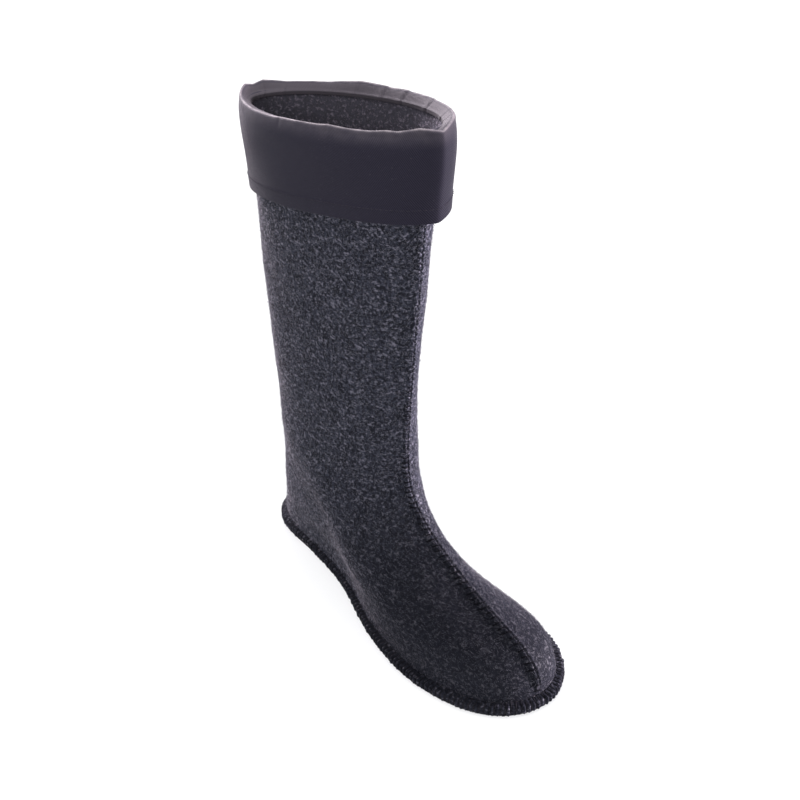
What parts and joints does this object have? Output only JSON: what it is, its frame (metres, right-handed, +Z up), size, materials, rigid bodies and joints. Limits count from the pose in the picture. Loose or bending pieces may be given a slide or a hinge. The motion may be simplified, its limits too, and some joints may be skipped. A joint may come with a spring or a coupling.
{
  "type": "felt boot liner",
  "caption": "Knee-high felt inner boot for the right foot, sewn along shin, heel and sole, with a turned-down woven cuff. It is worn inside a waterproof boot to insulate it.",
  "frame": {"origin": "on the floor under the middle of the sole's length", "axes": "+Z is up the shaft, the toe points to -Y, and +X is the wearer's left, which is the inner side of this right boot"},
  "size_m": [0.0964, 0.2972, 0.3575],
  "materials": {
    "felt": "heather grey needled felt, matt and hairy",
    "cuff_cloth": "black fine twill",
    "tab_ribbon": "plain red woven ribbon",
    "label_ribbon": "plain white satin ribbon"
  },
  "bodies": {
    "root": {"sole": "felt", "upper": "felt", "cuff": "cuff_cloth", "cuff_tab": "tab_ribbon", "care_label": "label_ribbon"}
  },
  "joints": []
}
